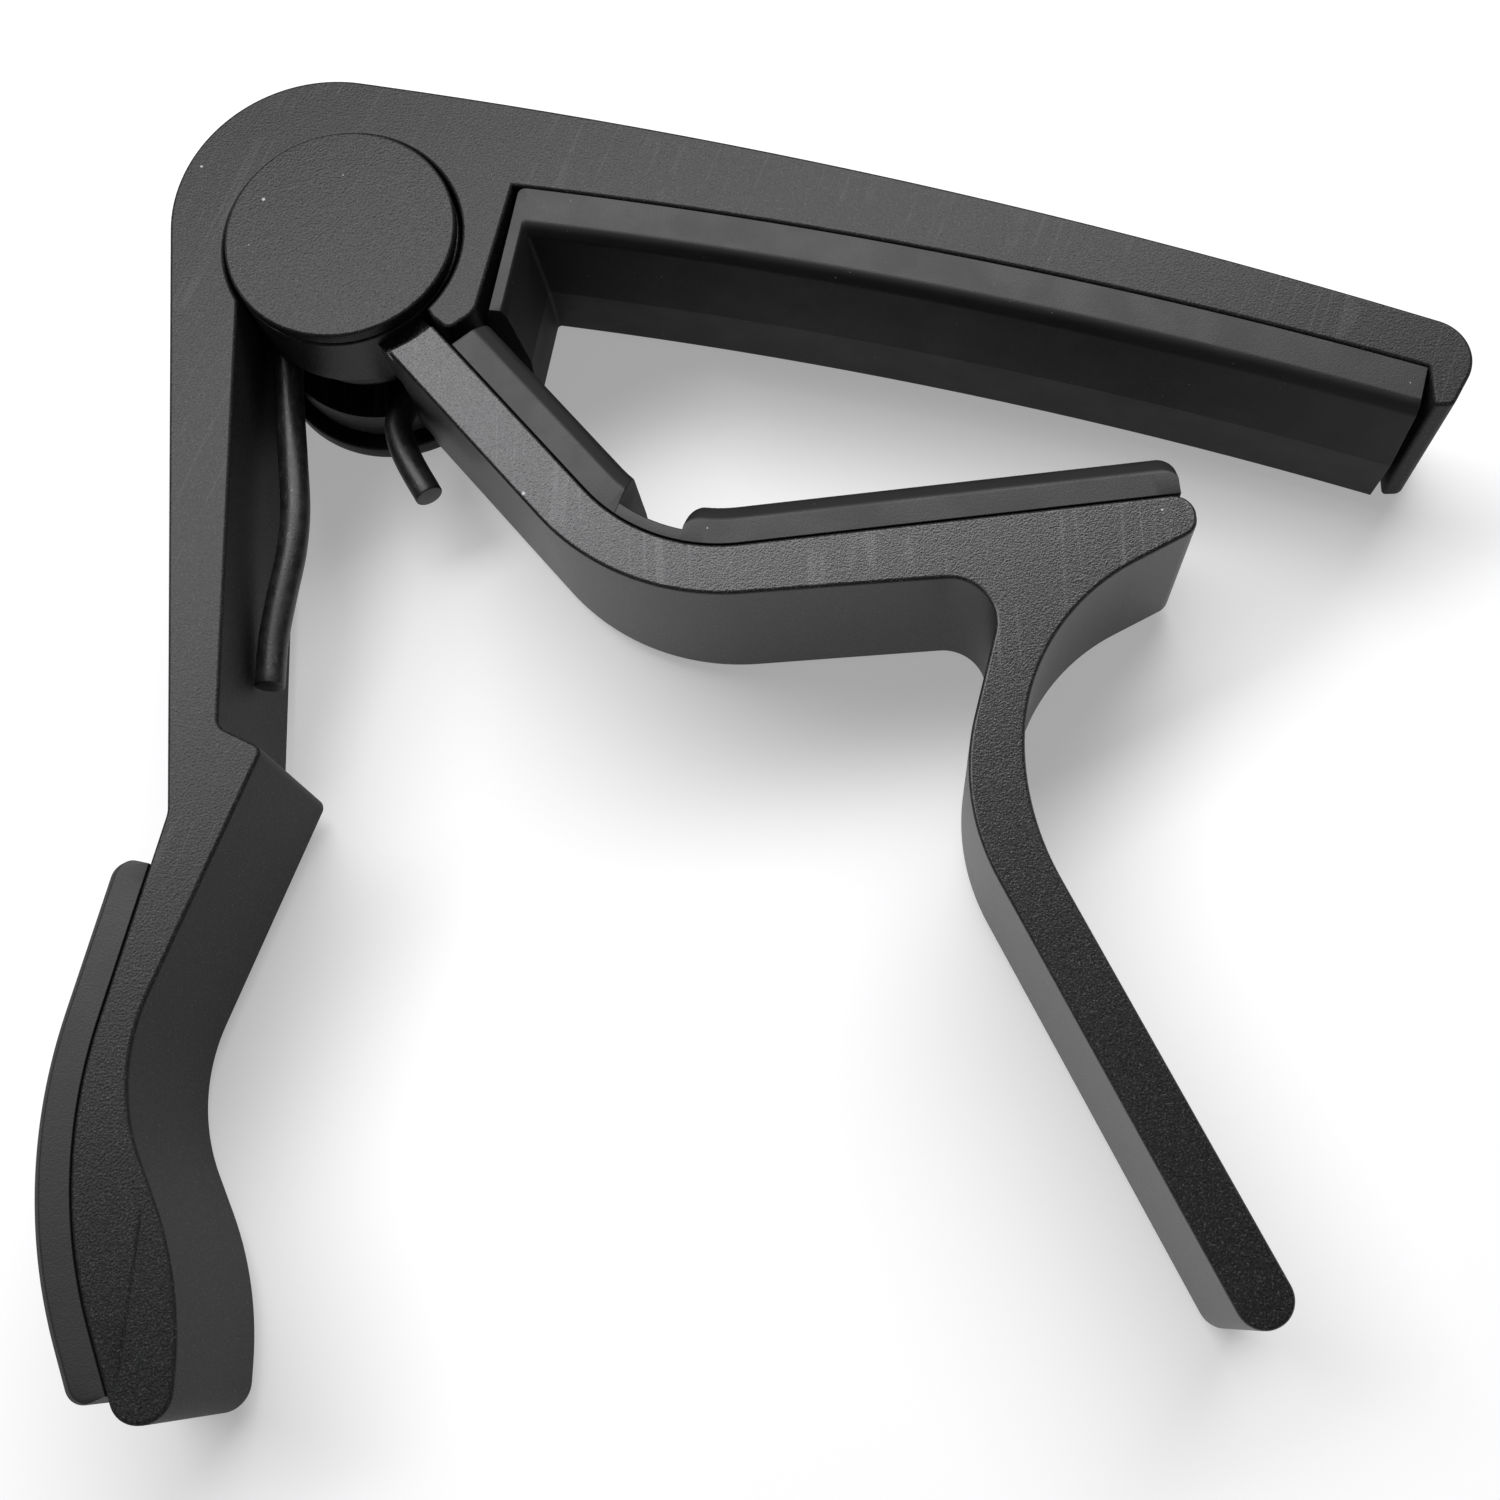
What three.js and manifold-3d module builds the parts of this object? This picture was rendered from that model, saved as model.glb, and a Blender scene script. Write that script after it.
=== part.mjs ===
// Spring-loaded trigger capo for a guitar, lying flat on its side.
// Units are millimetres and +Z is up, along the hinge. The origin is on the hinge axis, at the outer
// face of the rear cap, which is the lowest point. +X runs along the fret bar, +Y away from the handle.
import * as THREE from 'three';
import { mergeVertices } from 'three/addons/utils/BufferGeometryUtils.js';
import Module from 'manifold-3d';

const wasm = await Module();
wasm.setup();

// Heights along the hinge.
const THICKNESS = 13.5; // both metal bars are slices of this thickness
const BACK = 1.6;
const FRONT = BACK + THICKNESS;
const CAP_TOP = 15.9;
const FRONT_CAP_THICKNESS = 1.05;
const REAR_CAP_THICKNESS = 1.4;
const WASHER_THICKNESS = 0.35;
const HUB_BACK = BACK + 0.35;
const HUB_FRONT = FRONT - 0.35;

// Radii about the hinge.
const CAP_RADIUS = 7.98;
const REAR_CAP_RADIUS = 9.1;
const HUB_RADIUS = 8;
const SOCKET_RADIUS = 8.4;
const RECESS_RADIUS = 9.6;
const RECESS_DEPTH = 1.2;
const PIN_RADIUS = 2.5;
const PIN_HOLE_RADIUS = 2.8;
const SPACER_RADIUS = 4.2;

// The slot across the hub that holds the spring's coil.
const SLOT_BACK = 4.4;
const SLOT_FRONT = 9.9;
const SLOT_RADIUS = 8.9;

// Torsion spring.
const WIRE_RADIUS = 1.02;
const COIL_RADIUS = 5.7;
const COIL_PITCH = 2.08;
const LONG_LEG_Z = 8.8;
const COIL_START = 180;
const COIL_SWEEP = 565;

// Rubber pads.
const SEAM = 0.2; // gap between a pad and the metal under it
const PAD_BACK = BACK + 0.05;
const PAD_FRONT = FRONT - 0.05;

const EDGE_BREAK = 0.25; // small bevel round each metal face
const CHORD_ERROR = 0.02;
const ROUND_SEGMENTS = 48;
const BIG = 100;

const blackAnodised = { color: '#3b3c3f', roughness: 0.55, metalness: 0.6 };
const blackRubber = { color: '#2b2b2c', roughness: 0.6, metalness: 0 };
const springSteel = { color: '#1c1c1d', roughness: 0.3, metalness: 0.8 };
const plainSteel = { color: '#8b8d90', roughness: 0.4, metalness: 0.9 };
const nylon = { color: '#1f1f20', roughness: 0.7, metalness: 0 };

// Rounds the corners [x, y, radius] of a line. A closed line joins its last corner to its first.
function roundedLine(corners, closed) {
  const points = [];
  const count = corners.length;
  corners.forEach(([x, y, radius = 0], index) => {
    const corner = new THREE.Vector2(x, y);
    const isEnd = !closed && (index === 0 || index === count - 1);
    if (radius === 0 || isEnd) {
      points.push(corner);
      return;
    }
    const previous = corners[(index + count - 1) % count];
    const next = corners[(index + 1) % count];
    const inward = new THREE.Vector2(previous[0], previous[1]).sub(corner).normalize();
    const outward = new THREE.Vector2(next[0], next[1]).sub(corner).normalize();
    const halfAngle = Math.acos(inward.dot(outward)) / 2;
    const middle = inward.clone().add(outward).normalize();
    const centre = corner.clone().addScaledVector(middle, radius / Math.sin(halfAngle));
    const start = corner.clone().addScaledVector(inward, radius / Math.tan(halfAngle)).sub(centre);
    const turn = (Math.PI - 2 * halfAngle) * Math.sign(inward.cross(outward)) * -1;
    const chordAngle = 2 * Math.acos(1 - CHORD_ERROR / radius);
    const steps = Math.max(2, Math.ceil(Math.abs(turn) / chordAngle));
    for (let step = 0; step <= steps; step += 1) {
      points.push(start.clone().rotateAround(new THREE.Vector2(), (turn * step) / steps).add(centre));
    }
  });
  return points;
}

function toSolid(geometry) {
  const plain = geometry.clone();
  plain.deleteAttribute('normal');
  plain.deleteAttribute('uv');
  const merged = mergeVertices(plain);
  return new wasm.Manifold(new wasm.Mesh({
    numProp: 3,
    vertProperties: new Float32Array(merged.attributes.position.array),
    triVerts: new Uint32Array(merged.index.array),
  }));
}

function toGeometry(solid) {
  const mesh = solid.getMesh();
  const geometry = new THREE.BufferGeometry();
  geometry.setAttribute('position', new THREE.BufferAttribute(new Float32Array(mesh.vertProperties), 3));
  geometry.setIndex(new THREE.BufferAttribute(new Uint32Array(mesh.triVerts), 1));
  geometry.computeVertexNormals();
  return geometry;
}

// A slice between two heights, with its face edges broken by a small bevel.
function slice(corners, back, front, edgeBreak = 0) {
  const shape = new THREE.Shape(roundedLine(corners, true));
  const geometry = new THREE.ExtrudeGeometry(shape, {
    depth: front - back - 2 * edgeBreak,
    bevelEnabled: edgeBreak > 0,
    bevelThickness: edgeBreak,
    bevelSize: edgeBreak,
    bevelOffset: -edgeBreak,
    bevelSegments: 1,
  });
  geometry.translate(0, 0, back + edgeBreak);
  return toSolid(geometry);
}

function disc(radius, back, front) {
  const geometry = new THREE.CylinderGeometry(radius, radius, front - back, ROUND_SEGMENTS);
  geometry.rotateX(Math.PI / 2);
  geometry.translate(0, 0, (back + front) / 2);
  return toSolid(geometry);
}

// A disc whose two rims are chamfered.
function chamferedDisc(radius, back, front, chamfer) {
  const profile = [
    new THREE.Vector2(0, back),
    new THREE.Vector2(radius - chamfer, back),
    new THREE.Vector2(radius, back + chamfer),
    new THREE.Vector2(radius, front - chamfer),
    new THREE.Vector2(radius - chamfer, front),
    new THREE.Vector2(0, front),
  ];
  const geometry = new THREE.LatheGeometry(profile, ROUND_SEGMENTS);
  geometry.rotateX(Math.PI / 2);
  return toSolid(geometry);
}

function mesh(name, solid, look) {
  const result = new THREE.Mesh(toGeometry(solid), new THREE.MeshStandardMaterial(look));
  result.name = name;
  return result;
}

// A pad's section, from its back face over the crown at mid-thickness to its front face.
// Each point is [height above the metal, height along the hinge]. The face reaches up to edge, a
// bevel falls by drop to the shoulder, and a straight flank rises to the crown.
function padSection(edge, shoulder, crown, drop) {
  const middle = (PAD_FRONT + PAD_BACK) / 2;
  return [
    [SEAM, PAD_BACK],
    [edge, PAD_BACK],
    [shoulder, PAD_BACK + drop],
    [crown, middle],
    [shoulder, PAD_FRONT - drop],
    [edge, PAD_FRONT],
    [SEAM, PAD_FRONT],
  ];
}

function lineNormal(line, index) {
  const before = line[Math.max(index - 1, 0)];
  const after = line[Math.min(index + 1, line.length - 1)];
  const along = after.clone().sub(before).normalize();
  return new THREE.Vector2(-along.y, along.x);
}

// Sweeps a pad's section along a line on the metal. The pad stands on the line's left side.
function sweepPad(line, section) {
  const positions = [];
  line.forEach((point, index) => {
    const normal = lineNormal(line, index);
    section.forEach(([height, z]) => {
      positions.push(point.x + normal.x * height, point.y + normal.y * height, z);
    });
  });
  const size = section.length;
  const faces = [];
  for (let row = 0; row < line.length - 1; row += 1) {
    for (let k = 0; k < size; k += 1) {
      const a = row * size + k;
      const b = row * size + ((k + 1) % size);
      faces.push(a, b, a + size, b, b + size, a + size);
    }
  }
  const flat = section.map(([height, z]) => new THREE.Vector2(height, z));
  const last = (line.length - 1) * size;
  THREE.ShapeUtils.triangulateShape(flat, []).forEach(([a, b, c]) => {
    faces.push(a, c, b, last + a, last + b, last + c);
  });
  const geometry = new THREE.BufferGeometry();
  geometry.setAttribute('position', new THREE.Float32BufferAttribute(positions, 3));
  geometry.setIndex(faces);
  return toSolid(geometry);
}

// The line where the fret pad meets the bar. It is slightly curved, as a fretboard is.
const fretLine = [[72.45, -12.3], [42.67, -1.65, 360], [11.65, 3.78]];

// The neck jaw's upper surface, where the neck pad sits.
const jawLine = [[2.2, -1.75], [21.34, -24.02, 12], [56.72, -20.74]];

// The handle's outer surface, where the thumb grip sits.
const gripLine = [[-8.2, -77.15], [-13.74, -63.06, 30.6], [-8.53, -40.69]];

function frame() {
  const outline = [
    [-13.48, 15.5, 10.6], // round corner over the hinge
    [37.8, 5.02, 430], // top of the bar
    [76.6, -10.16, 2.9], // end of the bar
    [73.72, -15.1, 0.7],
    [72.45, -15.1, 0.3],
    ...fretLine,
    [9.45, -6, 1.6], // nose, which closes the socket
    [7.7, -7.25, 0.6],
    [6.6, -6.3],
    [5, -4],
    [-7.05, -3.5],
    [-5.76, -35.1, 0.9], // finger notch of the handle
    [-2.72, -36.6, 0.7],
    [-10.47, -57.16, 13],
    [-4.95, -69.15, 22.8],
    [-4.95, -77.15, 1.9],
    [-8.2, -77.15, 1.8],
    gripLine[1],
    [-8.53, -40.69, 2],
  ];
  const body = slice(outline, BACK, FRONT, EDGE_BREAK);
  return body.subtract(disc(SOCKET_RADIUS, BACK - 1, FRONT + 1));
}

function lever() {
  const arm = slice([
    ...jawLine.slice(0, 2),
    [...jawLine[2], 1.45], // tip of the jaw
    [56.85, -23.3, 1.25],
    [45.3, -29.25, 14], // trigger
    [45.25, -42.1, 18],
    [59.75, -71.28, 1.72],
    [56.62, -72.85, 1.72],
    [40.8, -40.9, 14.9],
    [44.68, -26, 3],
    [19.6, -27.35, 16.5], // underside of the arm
    [-1, -3.3],
  ], BACK, FRONT, EDGE_BREAK);
  const frontRecess = disc(RECESS_RADIUS, FRONT - RECESS_DEPTH, FRONT + 1);
  const backRecess = disc(RECESS_RADIUS, BACK - 1, BACK + RECESS_DEPTH);
  return arm
    .subtract(frontRecess)
    .subtract(backRecess)
    .add(disc(HUB_RADIUS, HUB_BACK, HUB_FRONT))
    .subtract(disc(SLOT_RADIUS, SLOT_BACK, SLOT_FRONT))
    .subtract(disc(PIN_HOLE_RADIUS, BACK - 1, FRONT + 1));
}

function fretPad() {
  const [barEnd, barMiddle, wall] = fretLine;
  const barLine = roundedLine([[wall[0] + 0.35, wall[1] - 0.03], barMiddle, [74.2, -13]], false);
  const onBar = sweepPad(barLine.reverse(), padSection(2.8, 3.3, 3.95, 0.8));
  const legTop = new THREE.Vector2(11.65, 3.5);
  const legBottom = new THREE.Vector2(10.25, -5.8);
  const onWall = sweepPad([legTop, legBottom], padSection(1.35, 1.6, 2.1, 0.5));
  const pocket = slice([
    [wall[0] + 0.2, wall[1] + 2],
    [legBottom.x, legBottom.y, 0.3],
    [legBottom.x + 2.4, legBottom.y, 0.8],
    [BIG / 4, -BIG / 4],
    [barEnd[0] - 4, -BIG / 4],
    [barEnd[0] - SEAM, barEnd[1]],
    [barEnd[0] - SEAM, wall[1] + 2],
  ], PAD_BACK - 1, PAD_FRONT + 1);
  return onBar.add(onWall).intersect(pocket);
}

function neckPad() {
  const line = roundedLine([[7, -7.34], jawLine[1], [58, -20.62]], false);
  const thick = sweepPad(line, padSection(1.8, 3, 3.15, 0.6));
  const web = sweepPad(line, padSection(0.85, 0.95, 1, 0.3));
  const upperBlock = slice([
    [7.3, -8.9],
    [9.35, -7.3, 0.4],
    [10.9, -6.5, 0.8],
    [21.5, -15.4],
    [19.3, -21.2],
  ], PAD_BACK - 1, PAD_FRONT + 1);
  const lowerBlock = slice([
    [23.4, -23.8],
    [24, -20.45, 1],
    [55.75, -17.8, 1.3],
    [55.9, -21.5],
  ], PAD_BACK - 1, PAD_FRONT + 1);
  const span = slice([[18.5, -21], [18.5, -18], [26, -18], [26, -24.5], [18.5, -24.5]], 0, FRONT + 1);
  return thick.intersect(upperBlock.add(lowerBlock)).add(web.intersect(span));
}

function thumbGrip() {
  const thick = sweepPad(roundedLine(gripLine, false), padSection(1.95, 2.45, 2.45, 0.6));
  const plan = slice([
    [-6, -43.95],
    [-11.65, -43.8, 1],
    [-20, -63],
    [-11.05, -76.15, 0.9],
    [-6, -74.2],
  ], PAD_BACK - 1, PAD_FRONT + 1);
  return thick.intersect(plan);
}

// The wire's route: down the long leg, round the coil and out along the short leg.
function springRoute() {
  const coilTurns = COIL_SWEEP / 360;
  const shortLegZ = LONG_LEG_Z - COIL_PITCH * coilTurns;
  const longLeg = [[-4.87, -30.2], [-4.87, -27], [-4.55, -23.9], [-4.1, -20.5], [-4.05, -17.5],
    [-4.5, -13.5], [-4.95, -10], [-5.35, -6.5], [-5.65, -3]];
  const shortLeg = [[4.2, -4.7], [3.1, -6.7], [2.3, -7.85], [1.9, -9.2], [2.2, -10.7], [2.9, -12.3],
    [4.4, -14.9]];
  const coilSteps = 40;
  const coil = [];
  for (let step = 0; step <= coilSteps; step += 1) {
    const share = step / coilSteps;
    const angle = THREE.MathUtils.degToRad(COIL_START - COIL_SWEEP * share);
    coil.push(new THREE.Vector3(
      COIL_RADIUS * Math.cos(angle),
      COIL_RADIUS * Math.sin(angle),
      LONG_LEG_Z + (shortLegZ - LONG_LEG_Z) * share,
    ));
  }
  return new THREE.CatmullRomCurve3([
    ...longLeg.map(([x, y]) => new THREE.Vector3(x, y, LONG_LEG_Z)),
    ...coil,
    ...shortLeg.map(([x, y]) => new THREE.Vector3(x, y, shortLegZ)),
  ], false, 'centripetal');
}

function torsionSpring() {
  const section = new THREE.Shape();
  section.absarc(0, 0, WIRE_RADIUS, 0, 2 * Math.PI);
  const geometry = new THREE.ExtrudeGeometry(section, {
    extrudePath: springRoute(),
    steps: 110,
    curveSegments: 5,
  });
  return toSolid(geometry);
}

function ring(outer, inner, back, front) {
  return disc(outer, back, front).subtract(disc(inner, back - 1, front + 1));
}

const capo = new THREE.Group();
capo.add(
  mesh('frame', frame(), blackAnodised),
  mesh('fret_pad', fretPad(), blackRubber),
  mesh('thumb_grip', thumbGrip(), blackRubber),
  mesh('lever', lever(), blackAnodised),
  mesh('neck_pad', neckPad(), blackRubber),
  mesh('pivot_pin', disc(PIN_RADIUS, REAR_CAP_THICKNESS + 0.1, CAP_TOP - FRONT_CAP_THICKNESS - 0.1), plainSteel),
  mesh('spring_spacer', ring(SPACER_RADIUS, PIN_HOLE_RADIUS, SLOT_BACK + 0.1, SLOT_FRONT - 0.1), nylon),
  mesh('front_cap', chamferedDisc(CAP_RADIUS, CAP_TOP - FRONT_CAP_THICKNESS, CAP_TOP, 0.15), blackAnodised),
  mesh('rear_cap', chamferedDisc(REAR_CAP_RADIUS, 0, REAR_CAP_THICKNESS, 0.2), blackAnodised),
  mesh('rear_washer', ring(HUB_RADIUS - 0.1, PIN_HOLE_RADIUS, 1.5, 1.5 + WASHER_THICKNESS), nylon),
  mesh('torsion_spring', torsionSpring(), springSteel),
);

export default capo;
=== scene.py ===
import math

import bmesh
import bpy
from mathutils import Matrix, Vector


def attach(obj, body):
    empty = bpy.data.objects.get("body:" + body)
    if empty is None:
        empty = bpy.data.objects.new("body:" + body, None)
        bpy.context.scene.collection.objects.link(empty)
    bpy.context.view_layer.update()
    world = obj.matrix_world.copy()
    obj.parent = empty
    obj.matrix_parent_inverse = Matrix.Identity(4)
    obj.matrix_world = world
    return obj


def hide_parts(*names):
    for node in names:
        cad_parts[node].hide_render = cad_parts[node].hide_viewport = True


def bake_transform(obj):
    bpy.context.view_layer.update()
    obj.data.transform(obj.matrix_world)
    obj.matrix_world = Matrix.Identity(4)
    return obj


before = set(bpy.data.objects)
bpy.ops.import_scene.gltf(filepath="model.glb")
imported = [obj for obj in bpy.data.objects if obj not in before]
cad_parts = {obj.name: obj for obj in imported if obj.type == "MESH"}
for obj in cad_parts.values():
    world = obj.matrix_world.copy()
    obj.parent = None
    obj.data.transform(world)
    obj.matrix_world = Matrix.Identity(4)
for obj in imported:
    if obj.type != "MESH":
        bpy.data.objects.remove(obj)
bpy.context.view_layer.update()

MM = 0.001
FRAME_BODY = "frame_body"
LEVER_BODY = "lever_body"

# Heights along the hinge.
BACK = 1.6
FRONT = 15.1
CAP_BOTTOM = 14.85
CAP_TOP = 15.9
REAR_CAP_TOP = 1.4
HUB_BACK = 1.95
HUB_FRONT = 14.75
SLOT_BACK = 4.4
SLOT_FRONT = 9.9
RECESS_DEPTH = 1.2
WASHER_BACK = 1.5
WASHER_FRONT = 1.85
PLAY = 0.1  # clearance of the hinge's inner pieces

# Radii about the hinge.
CAP_RADIUS = 7.98
REAR_CAP_RADIUS = 9.1
HUB_RADIUS = 8.0
SOCKET_RADIUS = 8.3
RECESS_RADIUS = 9.6
SLOT_RADIUS = 8.9
PIN_RADIUS = 2.5
PIN_HOLE_RADIUS = 2.8
SPACER_RADIUS = 4.2

# Torsion spring.
WIRE_RADIUS = 1.02
COIL_RADIUS = 5.7
COIL_TURNS = 565 / 360
COIL_PITCH = 2.08
LONG_LEG_Z = 8.8
SHORT_LEG_Z = LONG_LEG_Z - COIL_PITCH * COIL_TURNS

# Rubber pads. SEAM is the gap under a pad, and GAP_DEPTH how deep it is cut in beside the metal.
SEAM = 0.05
PAD_BACK = BACK + 0.05
PAD_FRONT = FRONT - 0.05
PAD_MIDDLE = (PAD_BACK + PAD_FRONT) / 2
RIDGE_ROUND = 0.3
GAP_DEPTH = 1.3

# Rounded edges.
EDGE_ROUND = 0.25
CAP_EDGE = 0.22
WIRE_LIP = 0.12

# How finely the shapes are made.
CHORD_ERROR = 0.003
MERGE_DISTANCE = 1e-5
BISECTIONS = 40
ROUND_STEPS = 4
SECTION_STEPS = 5
CORNER_STEPS = 8
BAR_STEPS = 90
LATHE_STEPS = 160
COIL_STEPS = 40
ROUTE_STEPS = 5
WIRE_SIDES = 28
WIRE_END_STEPS = 3
SHARP = math.radians(32)
SORTING_LINE = Vector((1, 1.618, 2.718))


# ---------------------------------------------------------------- outlines

def rounded_line(corners, closed, arc_steps=None):
    """Rounds the corners (x, y, radius) of a line.

    A closed line joins its last corner to its first. Each corner gets arc_steps steps, or as many as
    CHORD_ERROR asks for.
    """
    points = []
    count = len(corners)
    for index, corner in enumerate(corners):
        here = Vector(corner[:2])
        radius = corner[2] if len(corner) > 2 else 0
        if radius == 0 or (not closed and index in (0, count - 1)):
            points.append(here)
            continue
        back = (Vector(corners[index - 1][:2]) - here).normalized()
        ahead = (Vector(corners[(index + 1) % count][:2]) - here).normalized()
        half = math.acos(max(-1, min(1, back.dot(ahead)))) / 2
        centre = here + (back + ahead).normalized() * (radius / math.sin(half))
        arm = here + back * (radius / math.tan(half)) - centre
        turn = (math.pi - 2 * half) * (-1 if back.cross(ahead) > 0 else 1)
        chord = 2 * math.acos(1 - min(CHORD_ERROR / radius, 0.05))
        steps = arc_steps or max(4, math.ceil(abs(turn) / chord))
        for step in range(steps + 1):
            points.append(centre + turned(arm, turn * step / steps))
    return points


def turned(vector, angle):
    c, s = math.cos(angle), math.sin(angle)
    return Vector((vector.x * c - vector.y * s, vector.x * s + vector.y * c))


def signed_area(points):
    return sum(a.cross(b) for a, b in zip(points, points[1:] + points[:1])) / 2


def inset(points, distance):
    """Moves a closed outline inwards by a distance, with mitred corners."""
    side = 1 if signed_area(points) > 0 else -1
    result = []
    for index, here in enumerate(points):
        first = (here - points[index - 1]).normalized()
        second = (points[(index + 1) % len(points)] - here).normalized()
        n1 = Vector((-first.y, first.x)) * side
        n2 = Vector((-second.y, second.x)) * side
        result.append(here + (n1 + n2) * (distance / (1 + n1.dot(n2))))
    return result


class Line:
    """A rounded line on the metal, with the point and its left-hand normal at any length along it."""

    def __init__(self, corners):
        self.points = rounded_line(corners, False)
        self.lengths = [0.0]
        for a, b in zip(self.points, self.points[1:]):
            self.lengths.append(self.lengths[-1] + (b - a).length)
        self.total = self.lengths[-1]
        directions = [(b - a).normalized() for a, b in zip(self.points, self.points[1:])]
        self.directions = [directions[0]]
        self.directions += [(a + b).normalized() for a, b in zip(directions, directions[1:])]
        self.directions.append(directions[-1])

    def at(self, length):
        index = 0
        while index < len(self.lengths) - 2 and self.lengths[index + 1] < length:
            index += 1
        span = self.lengths[index + 1] - self.lengths[index]
        share = (length - self.lengths[index]) / span
        point = self.points[index].lerp(self.points[index + 1], share)
        blend = max(0, min(1, share))
        along = self.directions[index].lerp(self.directions[index + 1], blend).normalized()
        return point, Vector((-along.y, along.x))


# ---------------------------------------------------------------- meshes

def make_object(name, bm, material):
    """Turns a bmesh in millimetres into a shaded object in metres."""
    bmesh.ops.remove_doubles(bm, verts=bm.verts, dist=MERGE_DISTANCE)
    bmesh.ops.recalc_face_normals(bm, faces=bm.faces)
    bmesh.ops.scale(bm, vec=(MM, MM, MM), verts=bm.verts)
    mesh = bpy.data.meshes.new(name)
    bm.to_mesh(mesh)
    bm.free()
    mesh.materials.append(material)
    piece = bpy.data.objects.new(name, mesh)
    bpy.context.scene.collection.objects.link(piece)
    shade(mesh)
    return piece


def shade(mesh):
    """Shades the faces smooth, with hard lines at the sharp edges."""
    for polygon in mesh.polygons:
        polygon.use_smooth = True
    mesh.set_sharp_from_angle(angle=SHARP)


def bridge(bm, first, second):
    """Joins two closed rings of vertices with a band of faces."""
    count = len(first)
    for index in range(count):
        following = (index + 1) % count
        bm.faces.new((first[index], first[following], second[following], second[index]))


def slab(points, back, front):
    """A slice with rounded edges round both faces."""
    bm = bmesh.new()
    levels = []
    for step in range(ROUND_STEPS + 1):
        angle = math.pi / 2 * step / ROUND_STEPS
        levels.append((EDGE_ROUND * (1 - math.sin(angle)), EDGE_ROUND * (1 - math.cos(angle))))
    heights = [(shrink, back + rise) for shrink, rise in levels]
    heights += [(shrink, front - rise) for shrink, rise in reversed(levels)]
    rings = []
    for shrink, z in heights:
        rings.append([bm.verts.new((p.x, p.y, z)) for p in inset(points, shrink)])
    for first, second in zip(rings, rings[1:]):
        bridge(bm, first, second)
    bm.faces.new(rings[0])
    bm.faces.new(rings[-1])
    return bm


def lathe(profile):
    """Turns a profile of (radius, z) points about the hinge. Its ends lie on the axis, or join."""
    bm = bmesh.new()
    solid = profile[0][0] == 0
    rings = []
    for radius, z in profile:
        if radius == 0:
            rings.append([bm.verts.new((0, 0, z))])
            continue
        ring = []
        for step in range(LATHE_STEPS):
            angle = 2 * math.pi * step / LATHE_STEPS
            ring.append(bm.verts.new((radius * math.cos(angle), radius * math.sin(angle), z)))
        rings.append(ring)
    pairs = list(zip(rings, rings[1:]))
    if not solid:
        pairs.append((rings[-1], rings[0]))
    for first, second in pairs:
        if len(first) > 1 and len(second) > 1:
            bridge(bm, first, second)
            continue
        middle, ring = (first[0], second) if len(first) == 1 else (second[0], first)
        for index in range(LATHE_STEPS):
            bm.faces.new((middle, ring[index], ring[(index + 1) % LATHE_STEPS]))
    return bm


def disc(radius, back, front, edge=0.0):
    """A solid disc on the hinge axis."""
    corners = [(0, back), (radius, back, edge), (radius, front, edge), (0, front)]
    return lathe([(p.x, p.y) for p in rounded_line(corners, False)])


def tube(outer, inner, back, front, edge=0.1):
    """A bush or washer on the hinge axis."""
    corners = [(inner, back, edge), (outer, back, edge), (outer, front, edge), (inner, front, edge)]
    return lathe([(p.x, p.y) for p in rounded_line(corners, True)])


def combine(piece, bm, operation):
    """Joins a second solid to a piece, or cuts with it."""
    tool = make_object("tool", bm, piece.data.materials[0])
    modifier = piece.modifiers.new("combine", "BOOLEAN")
    modifier.operation = operation
    modifier.solver = "EXACT"
    modifier.object = tool
    bake(piece, modifier)
    bpy.data.objects.remove(tool)
    shade(piece.data)


def bake(piece, modifier):
    """Makes a modifier's result the piece's own mesh."""
    bpy.context.view_layer.update()
    evaluated = piece.evaluated_get(bpy.context.evaluated_depsgraph_get())
    old = piece.data
    name = old.name
    piece.data = bpy.data.meshes.new_from_object(evaluated)
    piece.modifiers.remove(modifier)
    bpy.data.meshes.remove(old)
    piece.data.name = name


def weigh_normals(piece):
    """Keeps broad faces flat in the shading, right up to their rounded edges."""
    modifier = piece.modifiers.new("weigh", "WEIGHTED_NORMAL")
    modifier.keep_sharp = True
    bake(piece, modifier)


def pad_section(edge, shoulder, crown, drop, roll=0.25, gap=0.02):
    """A pad's section as (height above the metal, z), with its mould's parting ridge at mid-thickness.

    The face runs from a gap beside the metal up to edge, a bevel falls by drop to the shoulder, and a
    straight flank rises to the crown. roll is the radius of the bevel's two corners, and gap how much
    wider than SEAM the gap is at the face.
    """
    front = [
        (SEAM, PAD_FRONT - GAP_DEPTH, 0),
        (SEAM + gap, PAD_FRONT, 0.05),
        (edge, PAD_FRONT, roll),
        (shoulder, PAD_FRONT - drop, roll),
    ]
    back = [(height, 2 * PAD_MIDDLE - z, radius) for height, z, radius in front]
    corners = back + [(crown, PAD_MIDDLE, RIDGE_ROUND)] + front[::-1]
    return [tuple(point) for point in rounded_line(corners, True, SECTION_STEPS)]


def grid(rows):
    """A closed tube of rings, capped at both ends."""
    bm = bmesh.new()
    made = [[bm.verts.new(point) for point in row] for row in rows]
    for first, second in zip(made, made[1:]):
        bridge(bm, first, second)
    bm.faces.new(made[0])
    bm.faces.new(made[-1])
    bmesh.ops.recalc_face_normals(bm, faces=bm.faces)
    return bm


def sweep(line, section, stations, drop=lambda length: 0):
    """Sweeps a section along a line. drop lowers the pad's top at some lengths, to round its plan."""
    top = max(height for height, z in section) - SEAM
    rows = []
    for length in stations:
        point, normal = line.at(length)
        lowered = drop(length)
        row = []
        for height, z in section:
            h = height - lowered * (height - SEAM) / top
            row.append((point.x + normal.x * h, point.y + normal.y * h, z))
        rows.append(row)
    return grid(rows)


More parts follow.
